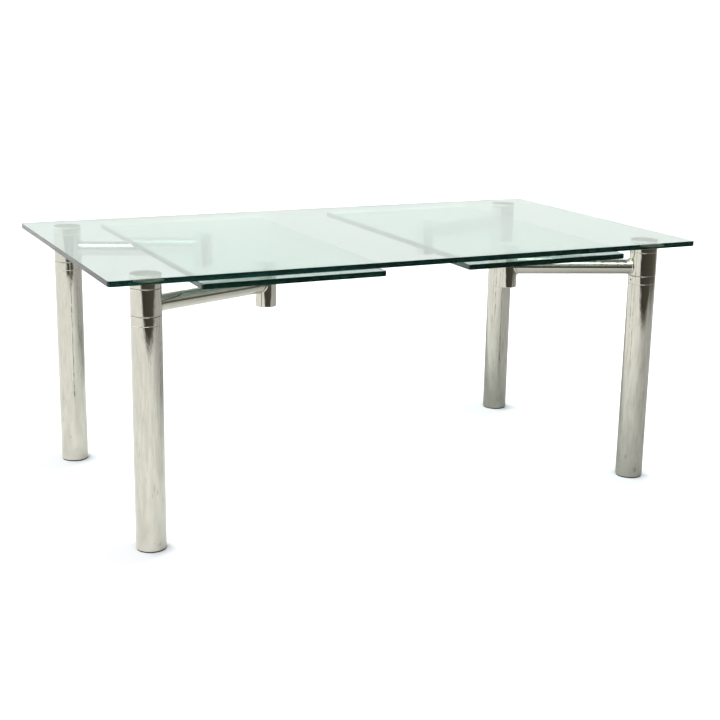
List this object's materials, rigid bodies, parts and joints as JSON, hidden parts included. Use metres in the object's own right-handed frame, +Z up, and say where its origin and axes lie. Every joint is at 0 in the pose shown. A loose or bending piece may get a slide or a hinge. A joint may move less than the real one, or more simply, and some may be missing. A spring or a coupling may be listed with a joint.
{
  "type": "extendable dining table",
  "caption": "Rectangular glass dining table on round chrome legs, with glass leaves stored under the top and swivel arms that carry them out at both ends.",
  "frame": {"origin": "on the floor, under the centre of the glass top", "axes": "+X along the length of the top, +Y to the back, +Z up"},
  "size_m": [1.8, 1, 0.75],
  "materials": {
    "top_glass": "clear tempered float glass, faint green, polished edges",
    "leaf_glass": "clear tempered float glass, faint green, polished edges",
    "chrome": "polished chrome plate on steel tube",
    "satin_disc": "fine turned steel disc bonded under the glass",
    "spindle_steel": "machined steel, oiled",
    "dark_screw": "black oxide grub screw",
    "white_plastic": "natural acetal",
    "black_plastic": "black polyamide",
    "clear_pad": "translucent soft pad"
  },
  "bodies": {
    "table": {"main_top": "top_glass", "bond_discs": "satin_disc", "thrust_washers": "white_plastic", "grub_screws": "dark_screw", "foot_plugs": "black_plastic", "leg_front_left": "chrome", "leg_front_right": "chrome", "leg_back_left": "chrome", "leg_back_right": "chrome", "glide_front_left": "black_plastic", "glide_front_right": "black_plastic", "glide_back_left": "black_plastic", "glide_back_right": "black_plastic", "ring_front_left": "chrome", "ring_front_right": "chrome", "ring_back_left": "chrome", "ring_back_right": "chrome", "cap_front_left": "chrome", "cap_front_right": "chrome", "cap_back_left": "chrome", "cap_back_right": "chrome", "spindle_front_left": "spindle_steel", "spindle_front_right": "spindle_steel", "spindle_back_left": "spindle_steel", "spindle_back_right": "spindle_steel"},
    "swing_arm_front_left": {"collar_front_left": "chrome", "bushes_front_left": "white_plastic", "arm_front_left": "chrome", "rosettes_front_left": "chrome", "post_front_left": "chrome", "guide_front_left": "white_plastic", "lift_front_left": "chrome", "pad_front_left": "clear_pad"},
    "swing_arm_front_right": {"collar_front_right": "chrome", "bushes_front_right": "white_plastic", "arm_front_right": "chrome", "rosettes_front_right": "chrome", "post_front_right": "chrome", "guide_front_right": "white_plastic", "lift_front_right": "chrome", "pad_front_right": "clear_pad"},
    "swing_arm_back_left": {"collar_back_left": "chrome", "bushes_back_left": "white_plastic", "arm_back_left": "chrome", "rosettes_back_left": "chrome", "post_back_left": "chrome", "guide_back_left": "white_plastic", "lift_back_left": "chrome", "pad_back_left": "clear_pad"},
    "swing_arm_back_right": {"collar_back_right": "chrome", "bushes_back_right": "white_plastic", "arm_back_right": "chrome", "rosettes_back_right": "chrome", "post_back_right": "chrome", "guide_back_right": "white_plastic", "lift_back_right": "chrome", "pad_back_right": "clear_pad"},
    "left_leaf": {"leaf_left": "leaf_glass"},
    "right_leaf": {"leaf_right": "leaf_glass"}
  },
  "joints": [
    {"name": "arm_swing_front_left", "type": "hinge", "parent": "table", "child": "swing_arm_front_left", "pos_m": [-0.778, -0.412, 0.665], "axis": [0, 0, 1], "range_deg": [0, 138.4]},
    {"name": "arm_swing_front_right", "type": "hinge", "parent": "table", "child": "swing_arm_front_right", "pos_m": [0.778, -0.412, 0.665], "axis": [0, 0, -1], "range_deg": [0, 138.4]},
    {"name": "arm_swing_back_left", "type": "hinge", "parent": "table", "child": "swing_arm_back_left", "pos_m": [-0.778, 0.412, 0.665], "axis": [0, 0, -1], "range_deg": [0, 138.4]},
    {"name": "arm_swing_back_right", "type": "hinge", "parent": "table", "child": "swing_arm_back_right", "pos_m": [0.778, 0.412, 0.665], "axis": [0, 0, 1], "range_deg": [0, 138.4]},
    {"name": "left_leaf_slide", "type": "slide", "parent": "table", "child": "left_leaf", "axis": [0, -1, 0], "range_m": [0, 1.05]},
    {"name": "right_leaf_slide", "type": "slide", "parent": "table", "child": "right_leaf", "axis": [0, -1, 0], "range_m": [0, 1.05]}
  ]
}
